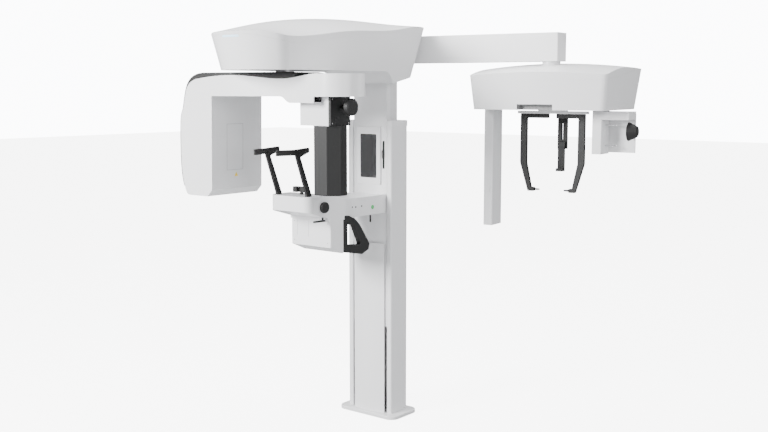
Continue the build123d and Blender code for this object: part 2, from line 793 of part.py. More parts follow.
with BuildPart() as sensor:
    with BuildSketch(Plane.XY.offset(sensor_bottom_z)) as section:
        with BuildLine():
            back_x = sensor_front_x + sensor_flat
            Polyline((sensor_front_x, axis_y - sensor_half_width), (back_x, axis_y - sensor_half_width),
                     (back_x + sensor_chamfer, axis_y - sensor_half_width + sensor_chamfer),
                     (back_x + sensor_chamfer, axis_y + sensor_half_width - sensor_chamfer),
                     (back_x, axis_y + sensor_half_width), (sensor_front_x, axis_y + sensor_half_width),
                     (sensor_front_x, axis_y - sensor_half_width))
        make_face()
        fillet(section.vertices(), 8)
    extrude(amount=mount_bottom_z - sensor_bottom_z)
    fillet(sensor.faces().sort_by(Axis.Z)[0].edges(), 6)
save(sensor, "sensor")


def round_knob(plane, radius, depth, stem_radius, stem_length, bore_depth):
    """A domed hand knob on a stem; the plane lies at the seat, with Z pointing out."""
    with BuildPart(mode=Mode.PRIVATE) as knob:
        with BuildSketch(plane.offset(stem_length)):
            Circle(radius)
        extrude(amount=depth)
        fillet(knob.edges(), depth * 0.3)
        with BuildSketch(plane.offset(-bore_depth)):
            Circle(stem_radius)
        extrude(amount=bore_depth + stem_length + 2)
    return knob.part


sensor_knob_plane = Plane(origin=(dock_right_x, sensor_knob_y, sensor_knob_z), x_dir=(0, 1, 0), z_dir=(1, 0, 0))
with BuildPart() as sensor_knob:
    add(round_knob(sensor_knob_plane, sensor_knob_radius, 32, knob_stem_radius, 38, dock_thickness - 1))
save(sensor_knob, "sensor_knob")


# ---------------------------------------------------------------- patient support
def support_block(inset):
    """Arm that carries the chin support: straight at the column, flared at the box."""
    half = support_half_width - inset
    wide = box_half_width - inset
    back_y = front_edge_y + 4
    with BuildPart(mode=Mode.PRIVATE) as block:
        with BuildSketch(Plane.XY.offset(1000)):
            with BuildLine():
                Line((half, back_y), (half, -330))
                Spline((half, -330), (wide, box_back_y), tangents=[(0, -1), (0, -1)])
                Line((wide, box_back_y), (wide, tray_back_y + inset))
                Line((wide, tray_back_y + inset), (-wide, tray_back_y + inset))
                Line((-wide, tray_back_y + inset), (-wide, box_back_y))
                Spline((-wide, box_back_y), (-half, -330), tangents=[(0, 1), (0, 1)])
                Line((-half, -330), (-half, back_y))
                Line((-half, back_y), (half, back_y))
            make_face()
        extrude(amount=400)
        with BuildSketch(Plane.YZ):
            with BuildLine():
                Polyline((back_y + 5, support_top_z - inset), (-330, support_top_z - inset))
                Spline((-330, support_top_z - inset), (tray_back_y - 5, tray_top_z - 4 - inset),
                       tangents=[(-1, 0), (-1, 0.1)])
                Polyline((tray_back_y - 5, tray_top_z - 4 - inset), (tray_back_y - 5, support_bottom_z + inset),
                         (back_y + 5, support_bottom_z + inset), (back_y + 5, support_top_z - inset))
            make_face()
        extrude(amount=400, both=True, mode=Mode.INTERSECT)
    return block.part


def cover_clearance(bottom_z, height):
    """Space taken by the moving cover."""
    with BuildPart(mode=Mode.PRIVATE) as space:
        with BuildSketch(Plane.XY.offset(bottom_z)):
            with BuildLine():
                ThreePointArc((-inner_half, front_edge_y), (0, front_centre_y), (inner_half, front_edge_y))
                Polyline((inner_half, front_edge_y), (inner_half, 50), (-inner_half, 50),
                         (-inner_half, front_edge_y))
            make_face()
        extrude(amount=height)
    return space.part


button_places = ((-181.0, 1172.0, start_button_radius), (-271.0, 1185.0, button_radius),
                 (-318.0, 1184.0, button_radius), (-347.0, 1186.0, button_radius))
with BuildPart() as support_arm:
    add(support_block(0))
    add(support_block(support_wall), mode=Mode.SUBTRACT)
    add(cover_clearance(1000, 400), mode=Mode.SUBTRACT)
    for button_y, button_z, radius in button_places:
        with BuildSketch(Plane.YZ.offset(90)):
            with Locations((button_y, button_z)):
                Circle(radius + touch_gap)
        extrude(amount=60, mode=Mode.SUBTRACT)
save(support_arm, "support_arm")

with BuildPart() as support_box:
    with BuildSketch(Plane.YZ):
        with BuildLine():
            Polyline((box_front_y, support_bottom_z), (box_front_y, box_front_bottom_z),
                     (box_back_y, box_back_bottom_z), (box_back_y, support_bottom_z),
                     (box_front_y, support_bottom_z))
        make_face()
    extrude(amount=box_half_width, both=True)
    fillet(support_box.edges().filter_by(Axis.X).group_by(Axis.Z)[0], 6)
    fillet(support_box.edges().filter_by(Axis.Z), 5)
    offset(amount=-support_wall, openings=support_box.faces().sort_by(Axis.Z)[-1])
    # two narrow slots down the front
    for slot_x, slot_width in ((-90, 11), (-16, 6)):
        with BuildSketch(Plane.XZ.offset(-box_front_y + 1)):
            with Locations((slot_x, (support_bottom_z + box_front_bottom_z) / 2 + 20)):
                RectangleRounded(slot_width, 84, 2)
        extrude(amount=-2.5, mode=Mode.SUBTRACT)
save(support_box, "support_box")

chin_stem_radius = 9.0
temple_stem_radius = 5.0
temple_travel = 12.0
knob_x = box_half_width + touch_gap
support_knob_y = -599.0
support_knob_z = 1209.0
support_knob_plane = Plane(origin=(knob_x, support_knob_y, support_knob_z), x_dir=(0, 1, 0), z_dir=(1, 0, 0))
with BuildPart() as chin_tray:
    with BuildSketch(Plane.YZ):
        with BuildLine():
            Polyline((tray_front_y, tray_top_z), (tray_front_y, tray_front_bottom_z),
                     (tray_back_y, tray_back_bottom_z), (tray_back_y, tray_top_z),
                     (tray_front_y, tray_top_z))
        make_face()
    extrude(amount=box_half_width, both=True)
    corner_edges = chin_tray.edges().filter_by(Axis.Z).group_by(Axis.Y)[0]
    fillet(corner_edges, tray_corner)
    fillet(chin_tray.faces().sort_by(Axis.Z)[-1].edges(), 3)
    # bores for the chin rest's stem and slots for the temple supports
    with BuildSketch(Plane.XY.offset(tray_top_z - 72)):
        with Locations((0, chin_y + 4)):
            Circle(chin_stem_radius + running_gap)
    extrude(amount=80, mode=Mode.SUBTRACT)
    with BuildSketch(Plane.XY.offset(tray_top_z - 20)):
        for side in (-1, 1):
            with Locations((side * temple_x, temple_foot_y + 30)):
                SlotOverall(2 * (temple_stem_radius + temple_travel) + 2, 2 * temple_stem_radius + 1)
    extrude(amount=30, mode=Mode.SUBTRACT)
    with BuildSketch(support_knob_plane):
        Circle(knob_stem_radius + running_gap)
    extrude(amount=-24, mode=Mode.SUBTRACT)
    with BuildSketch(Plane.XY.offset(tray_back_bottom_z - 6)):
        with Locations((lever_x, tray_back_y - 22)):
            Circle(lever_pin_radius + running_gap)
    extrude(amount=30, mode=Mode.SUBTRACT)
save(chin_tray, "chin_tray")

with BuildPart() as support_knob:
    add(round_knob(support_knob_plane, 28, 19, knob_stem_radius, 1.2, 20))
save(support_knob, "support_knob")

with BuildPart() as support_lever:
    with BuildSketch(Plane.XY.offset(tray_back_bottom_z - 13)):
        with Locations((lever_x + 4, tray_back_y - 51)):
            RectangleRounded(15, 84, 6)
    extrude(amount=8)
    fillet(support_lever.faces().sort_by(Axis.Z)[0].edges(), 1.5)
    with BuildSketch(Plane.XY.offset(tray_back_bottom_z - 6)):
        with Locations((lever_x, tray_back_y - 22)):
            Circle(lever_pin_radius)
    extrude(amount=26)
save(support_lever, "support_lever")

for number, (button_y, button_z, radius) in enumerate(button_places):
    button_name = ("start_button", "light_button", "up_button", "down_button")[number]
    with BuildPart() as key:
        with BuildSketch(Plane.YZ.offset(support_half_width - 9)):
            with Locations((button_y, button_z)):
                Circle(radius)
        extrude(amount=9 + button_travel)
        fillet(key.faces().sort_by(Axis.X)[-1].edges(), 0.8)
    save(key, button_name)

with BuildPart() as cord_peg:
    with BuildSketch(Plane.XY.offset(1092)):
        with Locations((support_half_width - 8, -189)):
            Circle(4.5)
    extrude(amount=support_bottom_z - 1092)
    fillet(cord_peg.faces().sort_by(Axis.Z)[0].edges(), 2)
save(cord_peg, "cord_peg")

handle_outline = ((-439, 1154), (-398, 1148), (-350, 1128), (-312, 1094), (-234, 986), (-241, 956),
                  (-296, 936), (-440, 962))
handle_hole = ((-411, 1106), (-362, 1094), (-306, 988), (-411, 1000))
for side, handle_name in ((-1, "left_handle"), (1, "right_handle")):
    with BuildPart() as handle:
        with BuildSketch(Plane.YZ.offset(side * handle_inner_x)) as loop:
            with BuildLine():
                Polyline(*handle_outline, close=True)
            make_face()
            with BuildLine():
                Polyline(*handle_hole, close=True)
            make_face(mode=Mode.SUBTRACT)
            fillet(loop.vertices(), 6)
        extrude(amount=side * handle_thickness)
        fillet(handle.faces().sort_by(Axis.X)[-1].edges() + handle.faces().sort_by(Axis.X)[0].edges(), 3)
        with BuildSketch(Plane.XY.offset(1120)):
            with Locations((side * (handle_inner_x + handle_thickness / 2), -392)):
                Rectangle(handle_thickness - 8, 30)
        extrude(amount=support_bottom_z - 1120)
        add(support_block(0), mode=Mode.SUBTRACT)
    save(handle, handle_name)


# ---------------------------------------------------------------- head holder
def temple_support(side):
    """One temple support: foot, leaning stem and the padded bar along the head."""
    with BuildPart(mode=Mode.PRIVATE) as holder:
        half = temple_thickness / 2
        for foot_x, foot_y, foot_z, width in ((temple_x, temple_foot_y + 30, tray_top_z + touch_gap, 34),):
            with BuildSketch(Plane.XY.offset(foot_z)):
                with Locations((side * foot_x, foot_y)):
                    RectangleRounded(temple_thickness + 4, width, 4)
            extrude(amount=14)
        with BuildSketch(Plane.YZ.offset(side * temple_x - half)) as stem:
            with BuildLine():
                Polyline((temple_foot_y + 46, tray_top_z + 10), (temple_foot_y + 14, tray_top_z + 10),
                         (temple_top_y - 14, temple_top_z - 36), (temple_top_y - 20, temple_top_z),
                         (temple_top_y + 76, temple_top_z + 6), (temple_top_y + 76, temple_top_z - 16),
                         (temple_top_y + 12, temple_top_z - 38), (temple_foot_y + 46, tray_top_z + 10))
            make_face()
            fillet(stem.vertices(), 5)
        extrude(amount=temple_thickness)
        with BuildSketch(Plane.XY.offset(temple_top_z - 28)) as bar:
            with BuildLine():
                Polyline((side * (temple_x + half), temple_top_y + 10), (side * (temple_x + half), temple_top_y - 30),
                         (side * (pad_inner_x + temple_thickness), pad_front_y),
                         (side * pad_inner_x, pad_front_y), (side * (temple_x - half), temple_top_y - 30),
                         (side * (temple_x - half), temple_top_y + 10), (side * (temple_x + half), temple_top_y + 10))
            make_face()
            fillet(bar.vertices().group_by(Axis.Y)[0], 5)
        extrude(amount=28)
        with BuildSketch(Plane.XY.offset(tray_top_z - 18)):
            with Locations((side * temple_x, temple_foot_y + 30)):
                Circle(temple_stem_radius)
        extrude(amount=24)
    return holder.part


with BuildPart() as left_temple:
    add(temple_support(-1))
save(left_temple, "left_temple")

with BuildPart() as right_temple:
    add(temple_support(1))
save(right_temple, "right_temple")

with BuildPart() as chin_rest:
    with BuildSketch(Plane.XY.offset(chin_bottom_z)):
        with Locations((0, chin_y)):
            RectangleRounded(chin_width, 28, 6)
        with Locations((0, chin_y - 14)):
            Circle(17, mode=Mode.SUBTRACT)
    extrude(amount=chin_top_z - chin_bottom_z)
    fillet(chin_rest.faces().sort_by(Axis.Z)[-1].edges(), 2.5)
    with BuildSketch(Plane.XY.offset(tray_top_z - 70)):
        with Locations((0, chin_y + 4)):
            Circle(chin_stem_radius)
    extrude(amount=chin_bottom_z - tray_top_z + 80)
save(chin_rest, "chin_rest")

# ---------------------------------------------------------------- ceph arm
arm_direction = radians(ceph_arm_angle)
ceph_arm_plane = Plane(origin=(ceph_arm_start[0], ceph_arm_start[1], ceph_arm_bottom_z),
                       x_dir=(cos(arm_direction), sin(arm_direction), 0), z_dir=(0, 0, 1))
ceph_plane = Plane(origin=(ceph_pivot[0], ceph_pivot[1], 0),
                   x_dir=(cos(radians(ceph_angle)), sin(radians(ceph_angle)), 0), z_dir=(0, 0, 1))
collar_radius = 45.0
collar_low_z = ceph_crown_z - 22
ceph_mast_radius = 30.0
ceph_wall_thickness = 5.0
ceph_arm_tail = 150.0
with BuildPart() as ceph_arm:
    with BuildSketch(ceph_arm_plane):
        with Locations(((ceph_arm_length - ceph_arm_tail) / 2, ceph_arm_depth / 2)):
            RectangleRounded(ceph_arm_length + ceph_arm_tail, ceph_arm_depth, 5)
    extrude(amount=ceph_arm_height)
    arm_cavity_length = ceph_arm_length + ceph_arm_tail - 2 * ceph_wall_thickness
    with BuildSketch(ceph_arm_plane.offset(ceph_wall_thickness)):
        with Locations(((ceph_arm_length - ceph_arm_tail) / 2, ceph_arm_depth / 2)):
            Rectangle(arm_cavity_length, ceph_arm_depth - 2 * ceph_wall_thickness)
    extrude(amount=ceph_arm_height - 2 * ceph_wall_thickness, mode=Mode.SUBTRACT)
    add(head_outer, mode=Mode.SUBTRACT)
save(ceph_arm, "ceph_arm")

with BuildPart() as ceph_collar:
    with BuildSketch(ceph_plane.offset(collar_low_z)):
        Circle(collar_radius)
        Circle(collar_radius - 12, mode=Mode.SUBTRACT)
    extrude(amount=ceph_arm_bottom_z - collar_low_z)
save(ceph_collar, "ceph_collar")

# ---------------------------------------------------------------- ceph unit
def ceph_plan(z, inset):
    """Plan of the ceph housing; the walls lean out as they rise."""
    rise = (z - ceph_bottom_z) / (ceph_seam_z - ceph_bottom_z)
    left = ceph_left - 18 * rise + inset
    right = ceph_right + 10 * rise - inset
    front = ceph_front - 6 * rise + inset
    rear = ceph_rear + 40 * rise - inset
    middle = (left + right) / 2
    with BuildSketch(mode=Mode.PRIVATE) as plan:
        with BuildLine():
            ThreePointArc((left, front), (middle, front - ceph_bow), (right, front))
            Line((right, front), (right, rear))
            Line((right, rear), (left, rear))
            Line((left, rear), (left, front))
        make_face()
        fillet(plan.vertices().group_by(Axis.Y)[0], ceph_corner / 2)
        fillet(plan.vertices().group_by(Axis.Y)[-1], ceph_corner)
    return plan.sketch


def ceph_block(inset):
    with BuildPart(mode=Mode.PRIVATE) as block:
        for plan_z in (ceph_bottom_z - 20, ceph_crown_z + 30):
            with BuildSketch(ceph_plane.offset(plan_z)):
                add(ceph_plan(plan_z, inset))
        loft()
        for station, side_z, ridge_z in ((-260, 1832, 1862), (-150, 1862, 1895), (0, 1886, ceph_crown_z),
                                         (160, 1892, 1922), (420, 1886, 1904)):
            crown = Plane(origin=ceph_plane.from_local_coords((0, station, 0)), x_dir=ceph_plane.x_dir,
                          z_dir=-ceph_plane.y_dir)
            with BuildSketch(crown):
                with BuildLine():
                    ThreePointArc((-420, side_z - inset), (0, ridge_z - inset), (430, side_z - inset))
                    Polyline((430, side_z - inset), (430, ceph_bottom_z + inset),
                             (-420, ceph_bottom_z + inset), (-420, side_z - inset))
                make_face()
        loft(mode=Mode.INTERSECT)
    return block.part


def ceph_seam(shift, far_z):
    """Everything on one side of the ceph housing's seam."""
    points = [(n, z + shift) for n, z in ((-300, 1836), (-190, 1839), (0, 1858), (150, 1880), (460, 1893))]
    side_plane = Plane(origin=ceph_plane.origin, x_dir=ceph_plane.y_dir, z_dir=ceph_plane.x_dir)
    with BuildPart(mode=Mode.PRIVATE) as side:
        with BuildSketch(side_plane):
            with BuildLine():
                Spline(*points)
                Polyline(points[-1], (points[-1][0], far_z), (points[0][0], far_z), points[0])
            make_face()
        extrude(amount=600, both=True)
    return side.part


ceph_outer = ceph_block(0)
ceph_inner = ceph_block(ceph_wall)
notch_centre = 4.0
notch_back_n = -162.0
key_row_z = ceph_bottom_z + 13
rotor_radius = 62.0
rail_height = 30.0
rail_half = 6.0
ceph_travel = 95.0
slot_centre_n = 0.0
slot_length_n = 2 * (post_half_depth + ceph_travel) + 8
bracket_top_z = ceph_bottom_z - 6
bracket_knob_z = 1588.0
knob_seat = Plane(origin=ceph_plane.from_local_coords((bracket_right - 18, 0, bracket_knob_z)),
                  x_dir=ceph_plane.y_dir, z_dir=ceph_plane.x_dir)
bracket_face = Plane(origin=ceph_plane.from_local_coords((bracket_left + bracket_body, 0, 0)),
                     x_dir=ceph_plane.y_dir, z_dir=ceph_plane.x_dir)
with BuildPart() as ceph_housing:
    add(ceph_outer)
    add(ceph_inner, mode=Mode.SUBTRACT)
    add(ceph_seam(0, 2400), mode=Mode.SUBTRACT)
    add(ceph_seam(-seam_gap, 2400) - ceph_block(groove_depth), mode=Mode.SUBTRACT)
    # openings in the floor for the travelling post and sensor and for the head support's rotor
    with BuildSketch(ceph_plane.offset(ceph_bottom_z - 10)):
        with Locations((post_left + post_width / 2, slot_centre_n)):
            Rectangle(post_width + 8, slot_length_n)
        with Locations((bracket_left + bracket_body / 2, slot_centre_n)):
            Rectangle(bracket_body + 8, slot_length_n)
        Circle(rotor_radius + running_gap)
    extrude(amount=ceph_wall + 20, mode=Mode.SUBTRACT)
    # key panel recess in the nose
    with BuildSketch(ceph_plane.offset(ceph_bottom_z - 10)):
        with Locations((notch_centre, notch_back_n - 50)):
            Rectangle(notch_width, 100)
    extrude(amount=notch_height + 10, mode=Mode.SUBTRACT)
save(ceph_housing, "ceph_housing")

with BuildPart() as ceph_lid:
    add(ceph_outer)
    add(ceph_inner, mode=Mode.SUBTRACT)
    add(ceph_seam(0, 1500), mode=Mode.SUBTRACT)
    with BuildSketch(ceph_plane.offset(ceph_crown_z - 60)):
        Circle(collar_radius + touch_gap)
    extrude(amount=120, mode=Mode.SUBTRACT)
save(ceph_lid, "ceph_lid")

panel_wall = 3.0
with BuildPart() as ceph_panel:
    with BuildSketch(ceph_plane.offset(ceph_bottom_z)):
        with Locations((notch_centre, notch_back_n - 22)):
            Rectangle(notch_width - 2, 44)
    extrude(amount=notch_height - 1)
    with BuildSketch(ceph_plane.offset(ceph_bottom_z)):
        with Locations((notch_centre, notch_back_n - 22 - 4 * panel_wall)):
            Rectangle(notch_width - 2 - 2 * panel_wall, 44)
    extrude(amount=notch_height - 1 - panel_wall, mode=Mode.SUBTRACT)
    key_plane = Plane(origin=ceph_plane.from_local_coords((notch_centre, notch_back_n - 4 * panel_wall, key_row_z)),
                      x_dir=ceph_plane.x_dir, z_dir=-ceph_plane.y_dir)
    with BuildSketch(key_plane):
        with GridLocations(20, 1, 6, 1):
            RectangleRounded(9, 7, 1.5)
    extrude(amount=1.2)
    add(ceph_block(1), mode=Mode.INTERSECT)
save(ceph_panel, "ceph_panel")

frame_z = ceph_bottom_z + ceph_wall
left_rail_u = post_left + post_width + 20
right_rail_u = bracket_left - 15
hook_z = frame_z + rail_height + touch_gap
hook_top_z = hook_z + 8
with BuildPart() as ceph_frame:
    beam_length = right_rail_u - left_rail_u - 2 * rail_half
    with BuildSketch(ceph_plane.offset(frame_z)):
        with Locations(((left_rail_u + right_rail_u) / 2, -88), ((left_rail_u + right_rail_u) / 2, 118)):
            Rectangle(beam_length, 20)
        with Locations((0, 15)):
            Rectangle(90, 226)
        Circle(rotor_radius + 22)
        Circle(rotor_radius + running_gap, mode=Mode.SUBTRACT)
    extrude(amount=22)
    with BuildSketch(ceph_plane.offset(frame_z + 22)):
        with Locations((0, -88), (0, 118)):
            Rectangle(90, 20)
    extrude(amount=collar_low_z - 8 - frame_z - 22)
    with BuildSketch(ceph_plane.offset(collar_low_z - 8)):
        with Locations((0, 15)):
            Rectangle(90, 226)
    extrude(amount=8)
    for rail_u in (left_rail_u, right_rail_u):
        with BuildSketch(ceph_plane.offset(frame_z)):
            with Locations((rail_u, slot_centre_n)):
                Rectangle(2 * rail_half, slot_length_n + 20)
        extrude(amount=rail_height)
save(ceph_frame, "ceph_frame")

with BuildPart() as ceph_post:
    with BuildSketch(ceph_plane.offset(post_bottom_z)) as section:
        with Locations((post_left + post_width / 2, 0)):
            RectangleRounded(post_width, 2 * post_half_depth, 6)
    extrude(amount=hook_top_z - post_bottom_z)
    fillet(ceph_post.faces().sort_by(Axis.Z)[0].edges(), 2)
    slit_plane = Plane(origin=ceph_plane.from_local_coords((post_left + post_width - 14, -post_half_depth, 1275)),
                       x_dir=ceph_plane.x_dir, z_dir=-ceph_plane.y_dir)
    with BuildSketch(slit_plane):
        RectangleRounded(5, 30, 1)
    extrude(amount=-3, mode=Mode.SUBTRACT)
    # hanger that rides over the rail
    with BuildSketch(ceph_plane.offset(hook_z)):
        with Locations((post_left + post_width + 12, 0)):
            Rectangle(32, 80)
    extrude(amount=hook_top_z - hook_z)
save(ceph_post, "ceph_post")

with BuildPart() as sensor_bracket:
    with BuildSketch(ceph_plane.offset(bracket_bottom_z)):
        with Locations((bracket_left + bracket_body / 2, 0)):
            RectangleRounded(bracket_body, 2 * post_half_depth, 5)
    extrude(amount=hook_top_z - bracket_bottom_z)
    with BuildSketch(ceph_plane.offset(hook_z)):
        with Locations((bracket_left - 8, 0)):
            Rectangle(30, 80)
    extrude(amount=hook_top_z - hook_z)
    with BuildSketch(ceph_plane.offset(bracket_top_z - bracket_top_thickness)):
        with Locations(((bracket_left + bracket_right) / 2, 0)):
            RectangleRounded(bracket_right - bracket_left, 2 * post_half_depth, 5)
    extrude(amount=bracket_top_thickness)
    with BuildSketch(ceph_plane.offset(bracket_plate_bottom_z)):
        with Locations(((bracket_left + bracket_body + bracket_right) / 2 - 2, post_half_depth - bracket_plate / 2)):
            Rectangle(bracket_right - bracket_left - bracket_body + 4, bracket_plate)
    extrude(amount=bracket_top_z - 10 - bracket_plate_bottom_z)
    with BuildSketch(ceph_plane.offset(bracket_knob_z - 28)):
        with Locations((bracket_right - 23, post_half_depth - 37)):
            Rectangle(10, 60)
    extrude(amount=56)
    with BuildSketch(knob_seat):
        Circle(knob_stem_radius + running_gap)
    extrude(amount=-12, mode=Mode.SUBTRACT)
    with BuildSketch(bracket_face):
        with Locations((0, 1575)):
            Rectangle(10, 30)
    extrude(amount=-3, mode=Mode.SUBTRACT)
save(sensor_bracket, "sensor_bracket")

with BuildPart() as bracket_pins:
    with BuildSketch(bracket_face):
        with Locations((0, 1618)):
            Circle(4)
    extrude(amount=80)
    with BuildSketch(bracket_face):
        with Locations((0, 1517)):
            Circle(4)
    extrude(amount=57)
save(bracket_pins, "bracket_pins")

with BuildPart() as bracket_knob:
    with BuildSketch(knob_seat.offset(1)):
        Circle(ceph_knob_radius)
    extrude(amount=46, taper=24)
    fillet(bracket_knob.faces().sort_by(Axis.X)[-1].edges(), 14)
    with BuildSketch(knob_seat.offset(-9)):
        Circle(knob_stem_radius)
    extrude(amount=12)
save(bracket_knob, "bracket_knob")

with BuildPart() as ceph_rotor:
    with BuildSketch(ceph_plane.offset(ceph_bottom_z - 8)):
        Circle(rotor_radius)
    extrude(amount=ceph_wall + 8 + 20)
    # channel in which the two ear rod carriers slide
    with BuildSketch(ceph_plane.offset(ceph_bottom_z - 22)):
        with Locations((ear_centre, 0)):
            Rectangle(2 * ear_reach + 28, ear_arm_depth + 12)
    extrude(amount=14)
    with BuildSketch(ceph_plane.offset(ceph_bottom_z - 22)):
        with Locations((ear_centre, nasion_offset / 2 + 8)):
            Rectangle(44, nasion_offset + 16)
    extrude(amount=14)
save(ceph_rotor, "ceph_rotor")


def ear_rod(side):
    """Ear rod carrier: a short slide block, a tapered arm and the rod itself."""
    top_z = ceph_bottom_z - 22 - touch_gap
    near = ear_centre + side * (ear_reach - ear_arm_width)
    far = ear_centre + side * ear_reach
    face = Plane(origin=ceph_plane.from_local_coords((0, ear_arm_depth / 2, 0)), x_dir=ceph_plane.x_dir,
                 z_dir=-ceph_plane.y_dir)
    with BuildPart(mode=Mode.PRIVATE) as rod:
        with BuildSketch(face) as outline:
            with BuildLine():
                Polyline((ear_centre + side * 22, top_z), (far, top_z), (far, 1420),
                         (ear_centre + side * 128, ear_bottom_z + 6), (ear_centre + side * 94, ear_bottom_z + 6),
                         (ear_centre + side * 94, ear_bottom_z + 26), (ear_centre + side * 112, ear_bottom_z + 26),
                         (near, 1420), (near, top_z - 22), (ear_centre + side * 22, top_z - 22),
                         (ear_centre + side * 22, top_z))
            make_face()
            fillet(outline.vertices(), 4)
        extrude(amount=ear_arm_depth)
        plug_plane = Plane(origin=ceph_plane.from_local_coords((ear_centre + side * 96, 0, ear_bottom_z + 16)),
                           x_dir=(0, 0, 1), z_dir=-side * ceph_plane.x_dir)
        with BuildSketch(plug_plane):
            Circle(6)
        extrude(amount=30, taper=4)
    return rod.part


with BuildPart() as left_ear_rod:
    add(ear_rod(-1))
save(left_ear_rod, "left_ear_rod")

with BuildPart() as right_ear_rod:
    add(ear_rod(1))
save(right_ear_rod, "right_ear_rod")

nasion_front = Plane(origin=ceph_plane.from_local_coords((ear_centre + 3, nasion_offset - 10, 0)),
                     x_dir=ceph_plane.x_dir, z_dir=-ceph_plane.y_dir)
nasion_top_z = ceph_bottom_z - 22 - touch_gap
nasion_hinge_radius = 4.5
nasion_hinge_z = nasion_split_z + 35
nasion_rest_width = 38.0
with BuildPart() as nasion_support:
    with BuildSketch(nasion_front) as plate:
        with Locations((0, (nasion_split_z + nasion_top_z) / 2)):
            RectangleRounded(nasion_width, nasion_top_z - nasion_split_z, 4)
            SlotOverall(90, 8, rotation=90, mode=Mode.SUBTRACT)
    extrude(amount=-18)
    # pivot screw head
    with BuildSketch(nasion_front):
        with Locations((-9, nasion_top_z - 12)):
            Circle(8)
    extrude(amount=7)
save(nasion_support, "nasion_support")

with BuildPart() as nasion_rest:
    with BuildSketch(nasion_front.offset(touch_gap)):
        with Locations((0, (nasion_hinge_z + nasion_bottom_z) / 2)):
            Rectangle(nasion_rest_width, nasion_hinge_z - nasion_bottom_z)
    extrude(amount=2 * nasion_hinge_radius)
    # barrel the rest folds about
    barrel_plane = Plane(origin=nasion_front.from_local_coords((-21, nasion_hinge_z, touch_gap + nasion_hinge_radius)),
                         x_dir=(0, 0, 1), z_dir=ceph_plane.x_dir)
    with BuildSketch(barrel_plane):
        Circle(nasion_hinge_radius)
    extrude(amount=42)
    with BuildSketch(nasion_front.offset(touch_gap + 9)):
        with Locations((0, nasion_bottom_z + 8)):
            RectangleRounded(38, 16, 4)
    extrude(amount=24)
save(nasion_rest, "nasion_rest")
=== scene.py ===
# panoramic x-ray machine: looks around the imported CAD, metres, same frame
import bpy
import bmesh
import json
from math import radians, cos, sin, tau
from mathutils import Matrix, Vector

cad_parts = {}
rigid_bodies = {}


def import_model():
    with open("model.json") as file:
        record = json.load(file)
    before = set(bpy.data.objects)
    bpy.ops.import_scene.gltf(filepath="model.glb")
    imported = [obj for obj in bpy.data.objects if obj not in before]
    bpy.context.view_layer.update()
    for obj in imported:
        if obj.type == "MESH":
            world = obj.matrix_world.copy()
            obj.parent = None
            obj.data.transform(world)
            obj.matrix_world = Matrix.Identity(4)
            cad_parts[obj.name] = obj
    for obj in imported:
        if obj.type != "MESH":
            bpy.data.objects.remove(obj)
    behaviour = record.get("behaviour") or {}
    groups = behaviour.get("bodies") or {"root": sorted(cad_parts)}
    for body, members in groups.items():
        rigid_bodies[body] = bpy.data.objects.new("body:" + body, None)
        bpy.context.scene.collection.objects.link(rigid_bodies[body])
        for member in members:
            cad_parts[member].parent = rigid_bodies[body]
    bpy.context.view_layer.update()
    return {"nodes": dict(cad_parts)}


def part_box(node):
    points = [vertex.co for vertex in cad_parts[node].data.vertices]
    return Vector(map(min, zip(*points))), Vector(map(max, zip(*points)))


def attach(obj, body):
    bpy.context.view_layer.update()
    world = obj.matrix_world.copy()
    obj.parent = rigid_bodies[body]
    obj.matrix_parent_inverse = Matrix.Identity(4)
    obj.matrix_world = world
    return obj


for o in list(bpy.data.objects):
    bpy.data.objects.remove(o)
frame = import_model()
scene = bpy.context.scene
nodes = frame["nodes"]
print("frame loaded", len(nodes), "nodes")


# shader maths: wraps one output socket, so that a sum or a product adds its Math node
class Val:
    def __init__(self, mat, socket):
        self.mat, self.socket = mat, socket

    def op(self, kind, a, b):
        n = self.mat.tree.nodes.new("ShaderNodeMath")
        n.operation = kind
        self.mat.feed(n.inputs[0], a)
        self.mat.feed(n.inputs[1], b)
        return Val(self.mat, n.outputs[0])

    def __add__(self, other):
        return self.op("ADD", self, other)

    def __radd__(self, other):
        return self.op("ADD", other, self)

    def __mul__(self, other):
        return self.op("MULTIPLY", self, other)

    def __rmul__(self, other):
        return self.op("MULTIPLY", other, self)


class Mat:
    def __init__(self, name, **sockets):
        self.mat = bpy.data.materials.new(name)
        self.mat.use_nodes = True
        self.tree = self.mat.node_tree
        self.shader = self.tree.nodes["Principled BSDF"]
        for key, value in sockets.items():
            self.shader.inputs[key.replace("_", " ")].default_value = value

    def feed(self, socket, value):
        if isinstance(value, Val):
            self.tree.links.new(value.socket, socket)
        else:
            socket.default_value = value

    def node(self, kind, settings=None, out=0, **sockets):
        n = self.tree.nodes.new(kind)
        for key, value in (settings or {}).items():
            setattr(n, key, value)
        for key, value in sockets.items():
            self.feed(n.inputs[key.replace("_", " ")], value)
        return Val(self, n.outputs[out])

    def coords(self):
        return self.node("ShaderNodeTexCoord", out="Object")

    def noise(self, scale, detail=3.0, rough=0.5):
        return self.node("ShaderNodeTexNoise", Vector=self.coords(), Scale=scale, Detail=detail,
                         Roughness=rough)

    def mix(self, fac, a, b):
        n = self.tree.nodes.new("ShaderNodeMix")
        n.data_type = "RGBA"
        self.feed(n.inputs[0], fac)
        self.feed(n.inputs[6], a)  # 6 and 7 are the colour sockets
        self.feed(n.inputs[7], b)
        return Val(self, n.outputs[2])

    def set(self, key, value):
        self.feed(self.shader.inputs[key], value)
        return self

    def bump(self, height, strength, distance):
        b = self.node("ShaderNodeBump", Height=height, Strength=strength, Distance=distance)
        return self.set("Normal", b)


def grey(v, a=1.0):
    return (v, v, v * 1.01, a)


# satin moulded white, faintly mottled and orange-peeled
moulded = {"blotch": 3.2, "blotchShade": 0.975, "patch": 55.0, "patchRough": 0.08, "peel": 420.0,
           "peelStrength": 0.035, "peelDepth": 0.0006}


